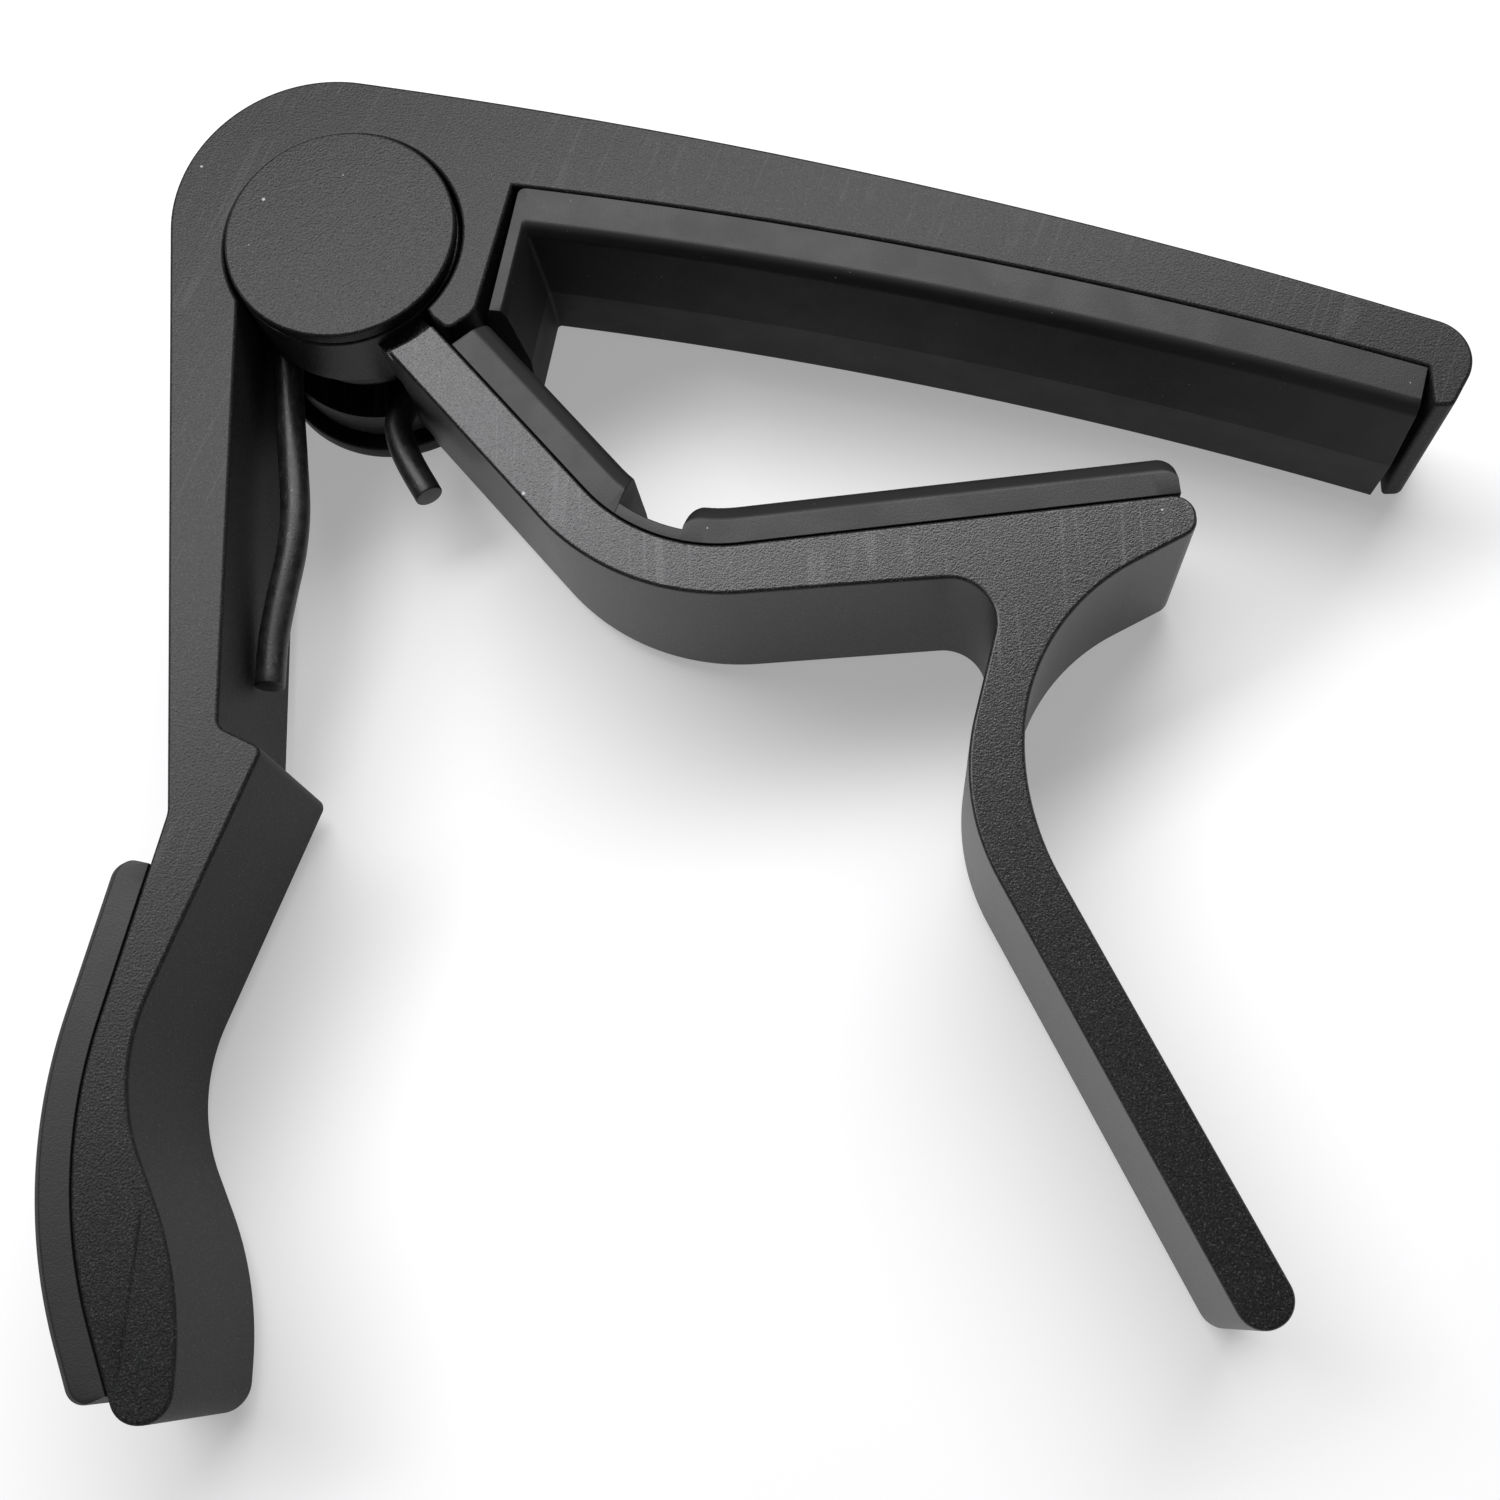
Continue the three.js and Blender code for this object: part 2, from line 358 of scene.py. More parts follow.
def cut(bm, point, direction, soft):
    """Cuts along an upright plane through a point, keeps its left side and softens the new edge."""
    along = Vector(direction).normalized()
    result = bmesh.ops.bisect_plane(
        bm,
        geom=bm.verts[:] + bm.edges[:] + bm.faces[:],
        dist=MERGE_DISTANCE,
        plane_co=(point[0], point[1], 0),
        plane_no=(along.y, -along.x, 0),
        clear_outer=True,
    )
    edges = [item for item in result["geom_cut"] if isinstance(item, bmesh.types.BMEdge)]
    made = bmesh.ops.contextual_create(bm, geom=edges)
    soften(bm, made["faces"], soft)
    bmesh.ops.recalc_face_normals(bm, faces=bm.faces)


def soften(bm, faces, amount):
    """Rounds the edges round some faces."""
    rim = list(dict.fromkeys(edge for face in faces for edge in face.edges))
    bmesh.ops.bevel(
        bm, geom=rim, offset=amount, segments=3, profile=0.5, affect="EDGES", clamp_overlap=True
    )
    put_in_order(bm)


def put_in_order(bm):
    """Sorts the vertices and faces along a slanting line. A bevel leaves its own in no fixed order."""
    bm.verts.sort(key=lambda vert: vert.co.dot(SORTING_LINE))
    bm.faces.sort(key=lambda face: face.calc_center_median().dot(SORTING_LINE))


def spread(start, end, step):
    """Evenly spaced values from start to end, about a step apart."""
    count = max(1, round(abs(end - start) / step))
    return [start + (end - start) * index / count for index in range(count + 1)]


# ---------------------------------------------------------------- materials

class Nodes:
    """Builds one procedural material. Vectors are in millimetres."""

    def __init__(self, name):
        self.material = bpy.data.materials.new(name)
        self.material.use_nodes = True
        self.tree = self.material.node_tree
        self.tree.nodes.clear()
        self.shader = self.add("ShaderNodeBsdfPrincipled")
        output = self.add("ShaderNodeOutputMaterial")
        self.link(self.shader.outputs["BSDF"], output.inputs["Surface"])
        coordinates = self.add("ShaderNodeTexCoord")
        scale = self.add("ShaderNodeVectorMath")
        scale.operation = "SCALE"
        scale.inputs["Scale"].default_value = 1 / MM
        self.link(coordinates.outputs["Object"], scale.inputs[0])
        self.position = scale.outputs[0]
        self.normal = coordinates.outputs["Normal"]

    def add(self, kind):
        return self.tree.nodes.new(kind)

    def link(self, source, target):
        self.tree.links.new(source, target)

    def put(self, value, socket):
        """Links an output to the socket, or sets the socket to a plain value."""
        if hasattr(value, "links"):
            self.link(value, socket)
        else:
            socket.default_value = value

    def noise(self, scale, detail=2.0, roughness=0.5, vector=None):
        node = self.add("ShaderNodeTexNoise")
        self.link(vector or self.position, node.inputs["Vector"])
        node.inputs["Scale"].default_value = scale
        node.inputs["Detail"].default_value = detail
        node.inputs["Roughness"].default_value = roughness
        return node.outputs["Fac"]

    def ramp(self, value, low, high, to_low=0.0, to_high=1.0):
        """Eases a value from low..high into to_low..to_high."""
        node = self.add("ShaderNodeMapRange")
        node.interpolation_type = "SMOOTHSTEP"
        self.link(value, node.inputs["Value"])
        node.inputs["From Min"].default_value = low
        node.inputs["From Max"].default_value = high
        node.inputs["To Min"].default_value = to_low
        node.inputs["To Max"].default_value = to_high
        return node.outputs["Result"]

    def math(self, operation, a, b=0.0):
        node = self.add("ShaderNodeMath")
        node.operation = operation
        self.put(a, node.inputs[0])
        self.put(b, node.inputs[1])
        return node.outputs[0]

    def mix(self, factor, a, b):
        """Mixes two colours, which are the node's inputs 6 and 7."""
        node = self.add("ShaderNodeMix")
        node.data_type = "RGBA"
        self.put(factor, node.inputs[0])
        self.put(a, node.inputs[6])
        self.put(b, node.inputs[7])
        return node.outputs[2]

    def mix_value(self, factor, a, b):
        """Mixes two plain values, which are the node's inputs 2 and 3."""
        node = self.add("ShaderNodeMix")
        self.put(factor, node.inputs[0])
        self.put(a, node.inputs[2])
        self.put(b, node.inputs[3])
        return node.outputs[0]

    def stretched(self, factors, angle=0.0):
        """The position turned about the hinge axis, then scaled along each axis."""
        node = self.add("ShaderNodeMapping")
        node.vector_type = "TEXTURE"
        self.link(self.position, node.inputs["Vector"])
        node.inputs["Rotation"].default_value = (0, 0, angle)
        node.inputs["Scale"].default_value = [1 / factor for factor in factors]
        return node.outputs["Vector"]

    def along_y(self):
        node = self.add("ShaderNodeSeparateXYZ")
        self.link(self.position, node.inputs[0])
        return node.outputs["Y"]

    def slice_mask(self):
        """1 on the sawn faces, which look along the hinge, and 0 on the sides."""
        node = self.add("ShaderNodeSeparateXYZ")
        self.link(self.normal, node.inputs[0])
        return self.ramp(self.math("ABSOLUTE", node.outputs["Z"]), 0.9, 0.99)

    def chips(self, spots):
        """Small marks at (x, y, z, radius), with ragged edges."""
        total = None
        wobble = self.noise(9.0, 2.0)
        for x, y, z, radius in spots:
            node = self.add("ShaderNodeVectorMath")
            node.operation = "DISTANCE"
            self.link(self.position, node.inputs[0])
            node.inputs[1].default_value = (x, y, z)
            distance = self.math("ADD", node.outputs["Value"], self.math("MULTIPLY", wobble, radius))
            spot = self.ramp(distance, radius * 1.25, radius * 1.6, 1.0, 0.0)
            total = spot if total is None else self.math("MAXIMUM", total, spot)
        return total

    def bump(self, height, strength, distance, normal=None):
        node = self.add("ShaderNodeBump")
        node.inputs["Strength"].default_value = strength
        node.inputs["Distance"].default_value = distance * MM
        self.link(height, node.inputs["Height"])
        if normal is not None:
            self.link(normal, node.inputs["Normal"])
        return node.outputs["Normal"]

    def finish(self, colour, roughness, normal, specular, metallic=0.0):
        self.put(colour, self.shader.inputs["Base Color"])
        self.put(roughness, self.shader.inputs["Roughness"])
        self.link(normal, self.shader.inputs["Normal"])
        self.shader.inputs["Specular IOR Level"].default_value = specular
        self.shader.inputs["Metallic"].default_value = metallic
        return self.material


def grey(level, warmth=0.0):
    return (level * (1 + warmth), level, level * (1 - warmth), 1.0)


def anodised(name, grain, side_roughness, face_roughness, painted_glint_strength, specular, stripes, spots):
    """Black anodised aluminium: blasted grain, painted glints, saw stripes on the sawn faces, small
    chips.

    grain is (scale, strength), and stripes (angle, strength, the lowest y that they reach).
    """
    grain_scale, grain_strength = grain
    stripe_angle, stripe_strength, stripe_end = stripes
    n = Nodes(name)
    sawn = n.slice_mask()
    fine = n.noise(8.0, 2.0, 0.6)
    coarse = n.noise(0.22, 2.0, 0.5)
    # Painted glints: light specks in the base colour stand in for the blasted surface's tiny
    # reflections.
    painted_glints = n.ramp(n.noise(7.5, 1.0), 0.6, 0.7)
    across = n.stretched((0.75, 0.02, 0.02), stripe_angle)
    level = n.math("ABSOLUTE", n.math("SUBTRACT", n.noise(1.0, 0.0, 0.5, across), 0.5))
    lines = n.ramp(level, 0.01, 0.035, 1.0, 0.0)
    lines = n.math("MULTIPLY", lines, n.ramp(n.noise(0.3, 2.0), 0.4, 0.6))
    lines = n.math("MULTIPLY", lines, n.ramp(n.along_y(), stripe_end, stripe_end + 4))
    lines = n.math("MULTIPLY", lines, sawn)
    colour = n.mix(n.ramp(fine, 0.3, 0.75), grey(0.004, -0.04), grey(0.02, -0.03))
    colour = n.mix(n.math("MULTIPLY", n.ramp(coarse, 0.35, 0.7), 0.3), colour, grey(0.014, 0.1))
    # Lightens the colour at the painted glints, as painted highlights.
    colour = n.mix(n.math("MULTIPLY", painted_glints, painted_glint_strength), colour, grey(0.2))
    colour = n.mix(n.math("MULTIPLY", lines, stripe_strength), colour, grey(0.13))
    chipped = n.chips(spots)
    colour = n.mix(n.math("MULTIPLY", chipped, 0.9), colour, grey(0.5))
    roughness = n.mix_value(sawn, side_roughness, face_roughness)
    roughness = n.math("ADD", roughness, n.ramp(fine, 0.25, 0.8, -0.04, 0.04))
    pits = n.bump(n.noise(grain_scale, 1.0, 0.5), grain_strength, 0.035)
    ridges = n.bump(n.noise(1.0, 3.0, 0.6, across), 0.1, 0.02, pits)
    normal = n.bump(chipped, 0.4, -0.06, ridges)
    return n.finish(colour, roughness, normal, specular)


def rubber(name, level, spots):
    """Satin moulded rubber with a fine skin, faint flow marks and a little dust."""
    n = Nodes(name)
    skin = n.noise(9.0, 2.0, 0.5)
    cloud = n.noise(0.35, 3.0, 0.5)
    flow = n.noise(0.9, 2.0, 0.5, n.stretched((0.35, 1.6, 1.6), 0.18))
    dust = n.ramp(n.noise(3.2, 1.0), 0.78, 0.82)
    colour = n.mix(n.ramp(cloud, 0.3, 0.7), grey(level * 0.8), grey(level * 1.25, 0.02))
    colour = n.mix(n.math("MULTIPLY", n.ramp(skin, 0.45, 0.8), 0.3), colour, grey(level * 2.2))
    colour = n.mix(n.math("MULTIPLY", dust, 0.5), colour, grey(0.16))
    chipped = n.chips(spots)
    colour = n.mix(chipped, colour, grey(0.3))
    roughness = n.ramp(cloud, 0.3, 0.7, 0.66, 0.72)
    roughness = n.math("SUBTRACT", roughness, n.math("MULTIPLY", n.slice_mask(), 0.24))
    normal = n.bump(skin, 0.35, 0.03)
    normal = n.bump(flow, 0.06, 0.04, normal)
    return n.finish(colour, roughness, normal, 0.37)


def steel_wire(name):
    """Blackened oily spring wire, with long drawing marks and worn bright streaks."""
    n = Nodes(name)
    streaks = n.noise(2.2, 3.0, 0.6, n.stretched((2.0, 0.5, 2.0)))
    blotch = n.noise(0.9, 3.0, 0.6)
    worn = n.ramp(streaks, 0.58, 0.75)
    colour = n.mix(n.ramp(blotch, 0.35, 0.7), grey(0.012), grey(0.024, 0.03))
    colour = n.mix(n.math("MULTIPLY", worn, 0.25), colour, grey(0.2, 0.02))
    pits = n.noise(5.0, 2.0, 0.6)
    flecks = n.math("MULTIPLY", n.ramp(pits, 0.6, 0.7), 0.2)
    roughness = n.math("SUBTRACT", n.ramp(blotch, 0.3, 0.75, 0.4, 0.48), flecks)
    normal = n.bump(pits, 0.35, 0.04, n.bump(streaks, 0.15, 0.04))
    return n.finish(colour, roughness, normal, 0.5)


def turned_steel(name):
    """Plain steel with turning marks round the hinge axis."""
    n = Nodes(name)
    rings = n.noise(3.0, 3.0, 0.6, n.stretched((0.1, 0.1, 3.0)))
    stain = n.noise(0.8, 2.0)
    colour = n.mix(n.ramp(stain, 0.3, 0.7), grey(0.32), grey(0.5, 0.01))
    roughness = n.ramp(rings, 0.3, 0.7, 0.28, 0.42)
    return n.finish(colour, roughness, n.bump(rings, 0.3, 0.03), 0.5, 1.0)


def nylon(name):
    """Matt black moulded nylon."""
    n = Nodes(name)
    grain = n.noise(8.0, 3.0, 0.6)
    colour = n.mix(n.ramp(grain, 0.3, 0.7), grey(0.012), grey(0.03))
    roughness = n.ramp(n.noise(1.2), 0.3, 0.7, 0.55, 0.7)
    return n.finish(colour, roughness, n.bump(grain, 0.2, 0.03), 0.4)


def floor_paint(name):
    """Plain pale paper on a light table, which glows softly through it."""
    n = Nodes(name)
    colour = n.mix(n.noise(0.02, 2.0), grey(0.70), grey(0.73))
    n.shader.inputs["Emission Color"].default_value = grey(1.0)
    n.shader.inputs["Emission Strength"].default_value = 0.34
    return n.finish(colour, 0.9, n.bump(n.noise(2.0, 2.0), 0.02, 0.02), 0.1)


frame_metal = anodised("frame_metal", (6.5, 0.5), 0.62, 0.35, 0.16, 0.22, (-0.36, 0.13, -50), [
    (-10.4, 6.2, FRONT, 0.1),
    (34.6, 4.9, FRONT, 0.1),
    (2.4, -38.4, 3, 0.16),
])
lever_metal = anodised("lever_metal", (8.5, 0.58), 0.42, 0.3, 0.22, 0.43, (0.03, 0.27, -36), [
    (13.3, -19.5, FRONT, 0.13),
    (48.9, -28.45, FRONT, 0.12),
    (54.6, -21.9, FRONT, 0.08),
    (15.2, -23.4, 12.5, 0.08),
])
cap_metal = anodised("cap_metal", (6.5, 0.75), 0.5, 0.34, 0.16, 0.225, (0.0, 0.0, -90), [
    (-5.45, 2.8, CAP_TOP, 0.13),
    (-6.2, -0.75, CAP_TOP, 0.05),
    (0.0, 4.5, CAP_TOP, 0.05),
])
pad_rubber = rubber("pad_rubber", 0.006, [
    (71.1, -13.4, PAD_FRONT, 0.05),
    (25.4, -22.3, PAD_FRONT, 0.06),
])
grip_rubber = rubber("grip_rubber", 0.01, [(-9.1, -69.0, PAD_FRONT, 0.05)])
spring_steel = steel_wire("spring_steel")
pin_steel = turned_steel("pin_steel")
black_nylon = nylon("black_nylon")


# ---------------------------------------------------------------- metal bars

# The metal under each pad.
FRET_LINE = [(72.45, -12.3), (42.67, -1.65, 360), (11.65, 3.78)]
JAW_LINE = [(2.2, -1.75), (21.34, -24.02, 12), (56.72, -20.74)]
GRIP_LINE = [(-8.2, -77.15), (-13.74, -63.06, 30.6), (-8.53, -40.69)]

# A shallow crease in the thumb handle's lower face.
CREASE_TOP = Vector((-7.7, -63))
CREASE_END = Vector((-8.3, -76.3))


def socket_point(a, b):
    """Where the edge from a, outside the socket, to b, inside it, meets the socket's circle."""
    low, high = 0.0, 1.0
    for _ in range(BISECTIONS):
        middle = (low + high) / 2
        if Vector(a).lerp(Vector(b), middle).length > SOCKET_RADIUS:
            low = middle
        else:
            high = middle
    return Vector(a).lerp(Vector(b), low)


def frame_outline():
    """The bar over the strings, the hinge head with its open socket, and the thumb handle."""
    nose = socket_point((6.6, -6.3), (5, -4))
    notch = socket_point((-5.76, -35.1), (-7.05, -3.5))
    mouth_start = math.atan2(nose.y, nose.x)
    mouth_end = math.atan2(notch.y, notch.x) + 2 * math.pi
    socket = []
    for angle in spread(mouth_start, mouth_end, 0.04)[1:-1]:
        socket.append((SOCKET_RADIUS * math.cos(angle), SOCKET_RADIUS * math.sin(angle)))
    return rounded_line([
        (-13.48, 15.5, 10.6),
        (37.8, 5.02, 430),
        (76.6, -10.16, 2.9),
        (73.72, -15.1, 0.7),
        (72.45, -15.1, 0.3),
        *FRET_LINE,
        (9.45, -6, 1.6),
        (7.7, -7.25, 0.6),
        (6.6, -6.3),
        tuple(nose),
        *socket,
        tuple(notch),
        (-5.76, -35.1, 0.9),
        (-2.72, -36.6, 0.7),
        (-10.47, -57.16, 13),
        (-4.95, -69.15, 22.8),
        (-4.95, -77.15, 1.9),
        (-8.2, -77.15, 1.8),
        GRIP_LINE[1],
        (-8.53, -40.69, 2),
    ], True)


def lever_outline():
    """The arm from the hub, the tip of the jaw, and the trigger."""
    return rounded_line([
        JAW_LINE[0],
        JAW_LINE[1],
        (*JAW_LINE[2], 1.45),
        (56.85, -23.3, 1.25),
        (45.3, -29.25, 14.0),
        (45.25, -42.1, 18),
        (59.75, -71.28, 1.72),
        (56.62, -72.85, 1.72),
        (40.8, -40.9, 14.9),
        (44.68, -26, 3),
        (19.6, -27.35, 16.5),
        (-1, -3.3),
    ], True)


def crease(start, end, half_width, depth, taper):
    """A cutter for a shallow V-shaped crease in the front face, which fades out at both ends.

    It stands as high above the face as it cuts below it, so its top is twice as wide as the crease.
    """
    along = (end - start).normalized()
    side = Vector((-along.y, along.x)) * half_width * 2
    near, far = start + along * taper, end - along * taper
    bm = bmesh.new()
    tips = [bm.verts.new((p.x, p.y, FRONT + depth)) for p in (start, end)]
    left = [bm.verts.new((p.x, p.y, FRONT + depth)) for p in (near + side, far + side)]
    right = [bm.verts.new((p.x, p.y, FRONT + depth)) for p in (near - side, far - side)]
    low = [bm.verts.new((p.x, p.y, FRONT - depth)) for p in (near, far)]
    bm.faces.new((tips[0], left[0], left[1], tips[1], right[1], right[0]))
    for edge in (left, right):
        bm.faces.new((edge[0], edge[1], low[1], low[0]))
        for index in (0, 1):
            bm.faces.new((tips[index], edge[index], low[index]))
    return bm


frame_bar = make_object("frame_bar", slab(frame_outline(), BACK, FRONT), frame_metal)
handle_crease = crease(CREASE_TOP, CREASE_END, half_width=0.17, depth=0.1, taper=2.5)
combine(frame_bar, handle_crease, "DIFFERENCE")

lever_bar = make_object("lever_bar", slab(lever_outline(), BACK, FRONT), lever_metal)
combine(lever_bar, disc(RECESS_RADIUS, FRONT - RECESS_DEPTH, FRONT + 1), "DIFFERENCE")
combine(lever_bar, disc(RECESS_RADIUS, BACK - 1, BACK + RECESS_DEPTH), "DIFFERENCE")
combine(lever_bar, disc(HUB_RADIUS, HUB_BACK, HUB_FRONT, 0.15), "UNION")
combine(lever_bar, disc(SLOT_RADIUS, SLOT_BACK, SLOT_FRONT), "DIFFERENCE")
combine(lever_bar, disc(PIN_HOLE_RADIUS, BACK - 1, FRONT + 1), "DIFFERENCE")


# ---------------------------------------------------------------- rubber pads

# The hinge wall that the fret pad's short leg lies on, and the slanted line that its foot ends at.
WALL_TOP = Vector((11.65, 3.5))
WALL_FOOT = Vector((9.75, -7.0))
WALL_DOWN = (WALL_FOOT - WALL_TOP).normalized()
WALL_AWAY = Vector((-WALL_DOWN.y, WALL_DOWN.x))
FOOT_EDGE = Vector((10.25, -5.85))
FOOT_NORMAL = Vector((-0.15, -1)).normalized()


def meeting_length(bar, bar_height, wall_height):
    """The length along the bar at which a track above it meets a track beside the wall."""
    low, high = bar.total - 12, bar.total + 2
    for _ in range(BISECTIONS):
        middle = (low + high) / 2
        point, normal = bar.at(middle)
        clearance = (point + normal * bar_height - WALL_TOP).dot(WALL_AWAY) - wall_height
        low, high = (middle, high) if clearance > 0 else (low, middle)
    return low


def fret_pad_track(bar, bar_height, wall_height):
    """One line of the pad's surface: along the bar, round the corner, then down the wall to its foot."""
    meeting = meeting_length(bar, bar_height, wall_height)
    # The corner is a little tighter the higher the track lies.
    radius = 0.5 - 0.25 * (bar_height - SEAM) / 4
    point, normal = bar.at(meeting)
    ahead = Vector((normal.y, -normal.x))
    turn = math.acos(ahead.dot(WALL_DOWN))
    reach = radius * math.tan(turn / 2)
    arc_start = point + normal * bar_height - ahead * reach
    centre = arc_start + normal * radius
    track = []
    for index in range(BAR_STEPS + 1):
        point, normal = bar.at((meeting - reach) * index / BAR_STEPS)
        track.append(point + normal * bar_height)
    for step in range(1, CORNER_STEPS + 1):
        track.append(centre + turned(arc_start - centre, turn * step / CORNER_STEPS))
    foot = WALL_FOOT + WALL_AWAY * wall_height
    foot -= WALL_DOWN * ((foot - FOOT_EDGE).dot(FOOT_NORMAL) / WALL_DOWN.dot(FOOT_NORMAL))
    arc_end = track[-1]
    for step in range(1, CORNER_STEPS + 1):
        track.append(arc_end.lerp(foot, step / CORNER_STEPS))
    return track


def fret_pad_mesh():
    """One moulding: the long pad under the bar, turned down the hinge wall through a rounded corner."""
    bar = Line([(75.3, -13.32), FRET_LINE[1], FRET_LINE[2]])
    on_bar = pad_section(2.8, 3.3, 3.95, 0.8, roll=0.8)
    on_wall = pad_section(1.35, 1.6, 2.1, 0.5, roll=0.3, gap=0.4)
    tracks = []
    for (bar_height, z), (wall_height, _) in zip(on_bar, on_wall):
        tracks.append([(p.x, p.y, z) for p in fret_pad_track(bar, bar_height, wall_height)])
    bm = grid([list(row) for row in zip(*tracks)])
    bm.faces.ensure_lookup_table()
    foot_face = bm.faces[-1]
    soften(bm, [foot_face], 0.2)
    # The free end is cut square to the bar.
    cut(bm, (72.3, -12.5), (0.27, 0.963), 0.12)
    return bm


def end_drop(start, end, start_radius, end_radius):
    """How far a block's top is lowered near its two ends, so that its plan has round corners."""
    def drop(length):
        lowered = 0
        for distance, radius in ((length - start, start_radius), (end - length, end_radius)):
            inside = max(0, min(radius, distance))
            lowered += radius - math.sqrt(radius ** 2 - (radius - inside) ** 2)
        return lowered
    return drop


def block_stations(start, end, start_radius, end_radius):
    """Lengths along a block, close together in its round ends."""
    near = [start + start_radius * (1 - math.cos(angle)) for angle in spread(0, math.pi / 2, 0.12)]
    far = [end - end_radius * (1 - math.cos(angle)) for angle in spread(math.pi / 2, 0, 0.12)]
    return near + spread(near[-1], far[0], 0.5)[1:-1] + far


def round_block(line, section, start, end, start_radius, end_radius):
    """A block along a line, with round corners at its two ends."""
    ends = (start, end, start_radius, end_radius)
    return sweep(line, section, block_stations(*ends), end_drop(*ends))


def neck_pad_meshes():
    """The jaw pad's two thick blocks and the thin web between them."""
    line = Line([(6, -6.17), JAW_LINE[1], (59, -20.53)])
    thick = pad_section(1.8, 3.0, 3.15, 0.6, roll=0.9)
    upper = sweep(line, thick, spread(0, 24, 0.4))
    # Each end of the upper block is cut at its own slant.
    cut(upper, (9.35, -7.3), (-2.05, -1.6), 0.3)
    cut(upper, (19.3, -21.2), (2.2, 5.8), 0.25)
    lower = round_block(line, thick, start=24.8, end=57.3, start_radius=1.3, end_radius=1.2)
    # The web lies a hair inside the blocks' faces, so that they join cleanly.
    thin = pad_section(0.85, 0.95, 1.0, 0.3, roll=0.1)
    thin = [(height + 0.01, PAD_MIDDLE + (z - PAD_MIDDLE) * 0.996) for height, z in thin]
    web = sweep(line, thin, spread(18.5, 25.6, 0.25))
    return upper, lower, web


def thumb_grip_mesh():
    """The strip on the outside of the thumb handle."""
    line = Line(GRIP_LINE)
    section = pad_section(1.95, 2.45, 2.45, 0.6)
    end = line.total - 3.4
    return round_block(line, section, start=1.75, end=end, start_radius=1.25, end_radius=1.25)


fret_pad = make_object("fret_pad_rubber", fret_pad_mesh(), pad_rubber)
upper_block, lower_block, web_strip = neck_pad_meshes()
neck_pad = make_object("neck_pad_rubber", upper_block, pad_rubber)
combine(neck_pad, web_strip, "UNION")
combine(neck_pad, lower_block, "UNION")
thumb_grip = make_object("thumb_grip_rubber", thumb_grip_mesh(), grip_rubber)


# ---------------------------------------------------------------- hinge

front_cap_disc = disc(CAP_RADIUS, CAP_BOTTOM, CAP_TOP, CAP_EDGE)
rear_cap_disc = disc(REAR_CAP_RADIUS, 0, REAR_CAP_TOP, CAP_EDGE)
pin_disc = disc(PIN_RADIUS, REAR_CAP_TOP + PLAY, CAP_BOTTOM - PLAY, 0.2)
spacer_tube = tube(SPACER_RADIUS, PIN_HOLE_RADIUS, SLOT_BACK + PLAY, SLOT_FRONT - PLAY)
washer_tube = tube(HUB_RADIUS - PLAY, PIN_HOLE_RADIUS, WASHER_BACK, WASHER_FRONT, 0.08)

front_cap = make_object("front_cap_disc", front_cap_disc, cap_metal)
rear_cap = make_object("rear_cap_disc", rear_cap_disc, cap_metal)
pin = make_object("hinge_pin", pin_disc, pin_steel)
spacer = make_object("coil_spacer", spacer_tube, black_nylon)
washer = make_object("hub_washer", washer_tube, black_nylon)


def smooth_route(points, steps):
    """A centripetal Catmull-Rom curve through the points."""
    padded = [2 * points[0] - points[1]] + points + [2 * points[-1] - points[-2]]
    route = []
    for index in range(1, len(padded) - 2):
        p0, p1, p2, p3 = padded[index - 1:index + 3]
        t0 = 0.0
        t1 = t0 + (p1 - p0).length ** 0.5
        t2 = t1 + (p2 - p1).length ** 0.5
        t3 = t2 + (p3 - p2).length ** 0.5
        for step in range(steps):
            t = t1 + (t2 - t1) * step / steps
            a1 = p0.lerp(p1, (t - t0) / (t1 - t0))
            a2 = p1.lerp(p2, (t - t1) / (t2 - t1))
            a3 = p2.lerp(p3, (t - t2) / (t3 - t2))
            b1 = a1.lerp(a2, (t - t0) / (t2 - t0))
            b2 = a2.lerp(a3, (t - t1) / (t3 - t1))
            route.append(b1.lerp(b2, (t - t1) / (t2 - t1)))
    return route + [points[-1]]


def spring_route():
    """The wire's centre line, from the leg on the handle through the coil to the leg on the lever."""
    long_leg = [(-4.87, -30.2), (-4.87, -27), (-4.55, -23.9), (-4.1, -20.5), (-4.05, -17.5),
                (-4.5, -13.5), (-4.95, -10), (-5.35, -6.5), (-5.65, -3)]
    short_leg = [(4.2, -4.7), (3.1, -6.7), (2.3, -7.85), (1.9, -9.2), (2.2, -10.7), (2.9, -12.3),
                 (4.4, -14.9)]
    coil = []
    for step in range(COIL_STEPS + 1):
        share = step / COIL_STEPS
        angle = math.pi - 2 * math.pi * COIL_TURNS * share
        z = LONG_LEG_Z + (SHORT_LEG_Z - LONG_LEG_Z) * share
        coil.append(Vector((COIL_RADIUS * math.cos(angle), COIL_RADIUS * math.sin(angle), z)))
    points = [Vector((x, y, LONG_LEG_Z)) for x, y in long_leg] + coil
    points += [Vector((x, y, SHORT_LEG_Z)) for x, y in short_leg]
    return smooth_route(points, ROUTE_STEPS)


def wire_end(station, sign):
    """The rings of a wire's cropped end, which narrow by a small rounded lip."""
    point, along, across, rise = station
    rings = []
    for step in range(WIRE_END_STEPS + 1):
        angle = math.pi / 2 * step / WIRE_END_STEPS
        shift = WIRE_LIP * math.sin(angle)
        radius = WIRE_RADIUS - WIRE_LIP * (1 - math.cos(angle))
        rings.append((point + along * sign * shift, across, rise, radius))
    return rings


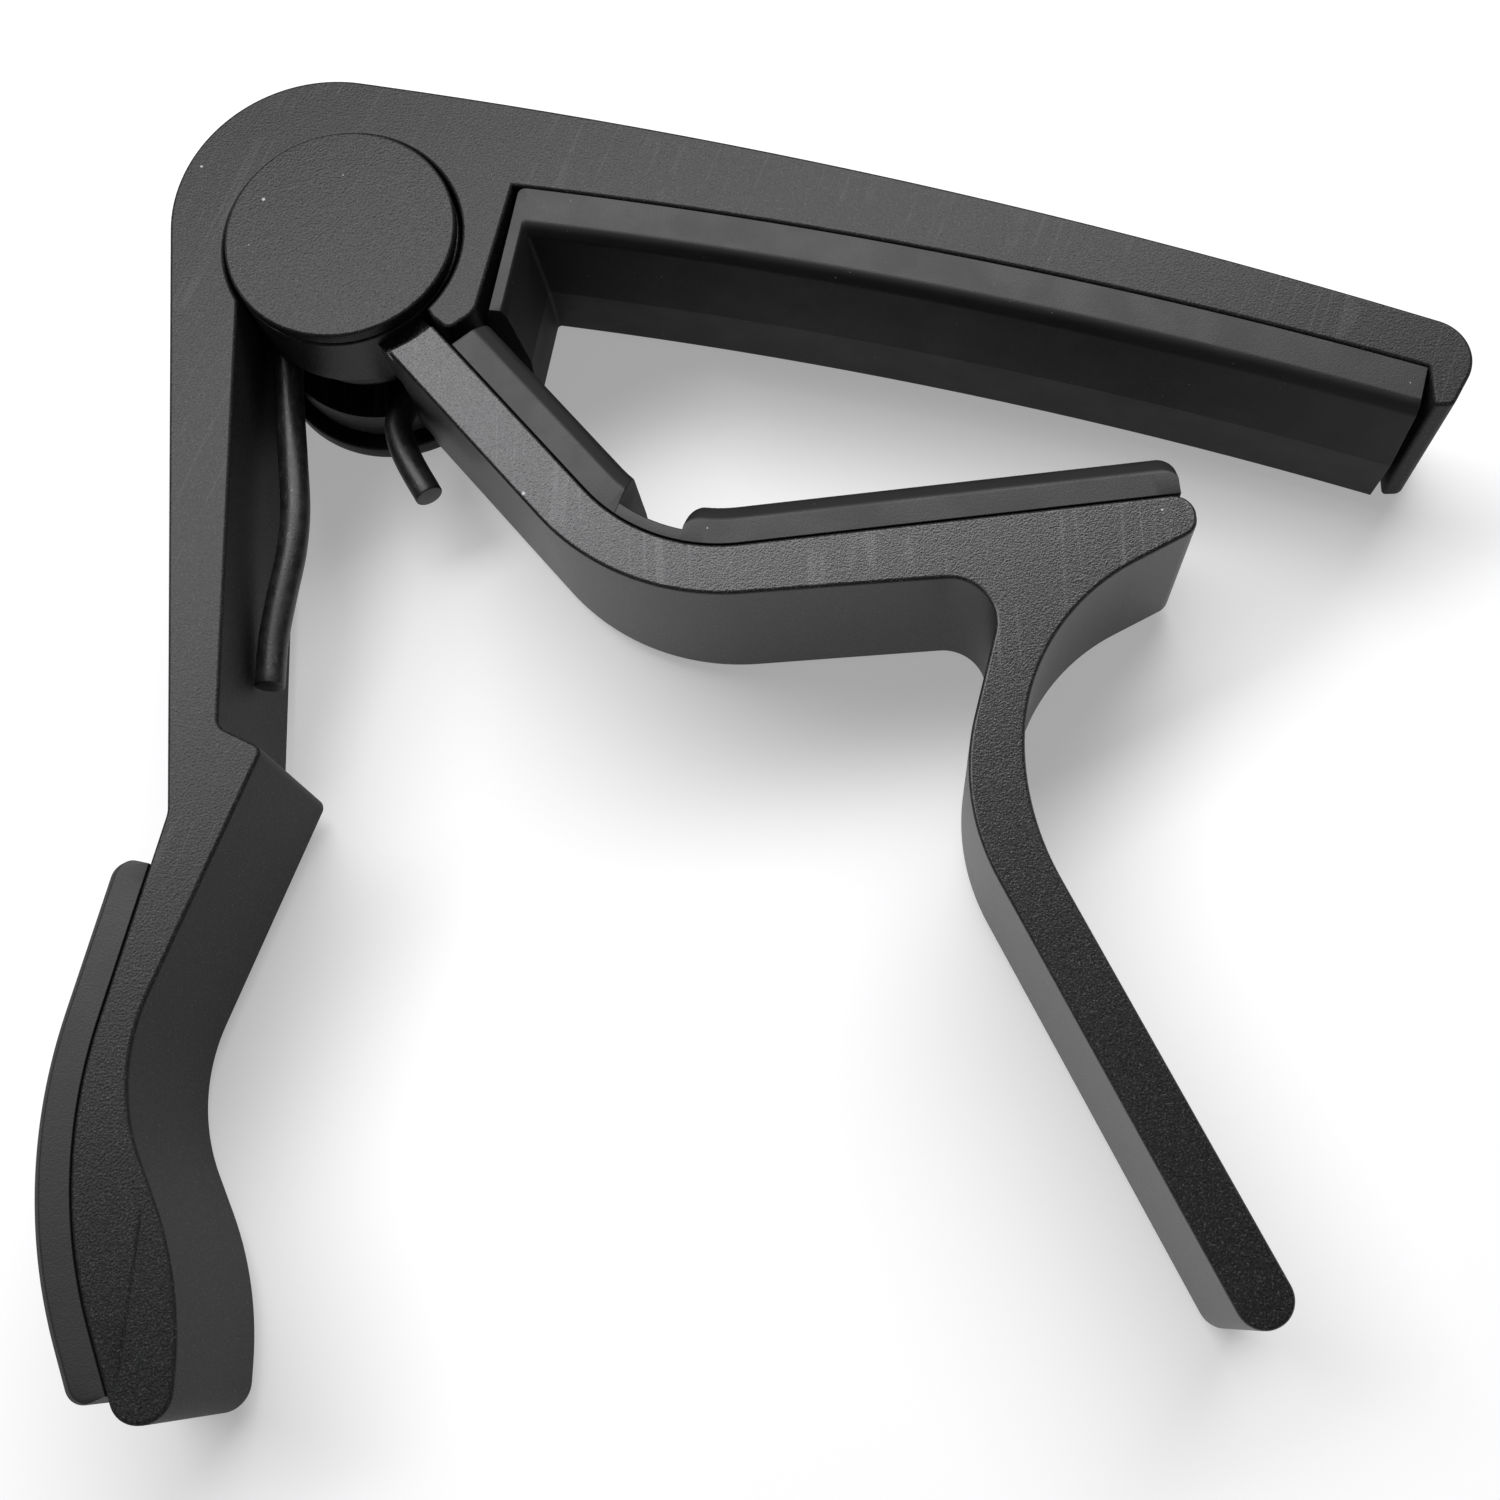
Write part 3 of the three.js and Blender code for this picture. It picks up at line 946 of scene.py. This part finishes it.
def wire_mesh(route):
    """A round wire along a route, which doesn't twist about its own line."""
    stations = []
    up = Vector((0, 0, 1))
    last = len(route) - 1
    for index, point in enumerate(route):
        along = (route[min(index + 1, last)] - route[max(index - 1, 0)]).normalized()
        across = up.cross(along).normalized()
        up = along.cross(across).normalized()
        stations.append((point, along, across, up.copy()))
    rings = wire_end(stations[0], -1)[::-1]
    rings += [(point, across, rise, WIRE_RADIUS) for point, _, across, rise in stations[1:-1]]
    rings += wire_end(stations[-1], 1)
    rows = []
    for point, across, rise, radius in rings:
        row = []
        for side in range(WIRE_SIDES):
            angle = 2 * math.pi * side / WIRE_SIDES
            row.append(point + across * (radius * math.cos(angle)) + rise * (radius * math.sin(angle)))
        rows.append(row)
    return grid(rows)


spring = make_object("torsion_spring_wire", wire_mesh(spring_route()), spring_steel)


# ---------------------------------------------------------------- bodies

for piece, body, node, slot in (
    (frame_bar, FRAME_BODY, "frame", "metal"),
    (fret_pad, FRAME_BODY, "fret_pad", "pad_rubber"),
    (thumb_grip, FRAME_BODY, "thumb_grip", "grip_rubber"),
    (lever_bar, LEVER_BODY, "lever", "metal"),
    (neck_pad, LEVER_BODY, "neck_pad", "pad_rubber"),
    (front_cap, LEVER_BODY, "front_cap", "metal"),
    (rear_cap, LEVER_BODY, "rear_cap", "metal"),
    (pin, LEVER_BODY, "pivot_pin", "pin_steel"),
    (spacer, LEVER_BODY, "spring_spacer", "nylon"),
    (washer, LEVER_BODY, "rear_washer", "nylon"),
):
    weigh_normals(piece)
    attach(piece, body)
    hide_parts(node)

# The coil's turns wind up between the leg on the handle and the leg that goes with the lever.
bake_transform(spring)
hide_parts("torsion_spring")


# ---------------------------------------------------------------- stage

FLOOR_REACH = 1500
FLOOR_Z = -0.02


def make_floor():
    bm = bmesh.new()
    corners = [(-1, -1), (1, -1), (1, 1), (-1, 1)]
    bm.faces.new([bm.verts.new((x * FLOOR_REACH, y * FLOOR_REACH, FLOOR_Z)) for x, y in corners])
    floor = make_object("floor", bm, floor_paint("floor_paper"))


def make_softbox(place, yaw, size, radiance):
    """A flat panel overhead, which shines straight down."""
    data = bpy.data.lights.new("softbox", "AREA")
    data.shape = "RECTANGLE"
    data.size, data.size_y = size
    data.energy = radiance * math.pi * size[0] * size[1]
    data.color = (0.98, 0.98, 1.0)
    light = bpy.data.objects.new("softbox", data)
    light.location = place
    light.rotation_euler = (0, 0, math.radians(yaw))
    bpy.context.scene.collection.objects.link(light)


def make_world(level):
    world = bpy.data.worlds.new("studio")
    world.use_nodes = True
    world.node_tree.nodes["Background"].inputs["Color"].default_value = (level, level, level, 1)
    bpy.context.scene.world = world


def make_camera():
    data = bpy.data.cameras.new("camera")
    data.sensor_width = 36
    data.lens = 43.41
    data.shift_x = -0.0328
    data.shift_y = 0.0243
    data.clip_start = 0.005
    camera = bpy.data.objects.new("camera", data)
    camera.location = (0.036722, -0.070825, 0.12247)
    camera.rotation_euler = [math.radians(angle) for angle in (16.056, 3.0, -0.312)]
    bpy.context.scene.collection.objects.link(camera)
    bpy.context.scene.camera = camera


make_floor()
make_softbox(place=(-0.0155, 0.393, 0.615), yaw=27, size=(1.2, 0.29), radiance=9.2)
make_world(0.1)
make_camera()
bpy.context.scene.view_settings.view_transform = "Standard"
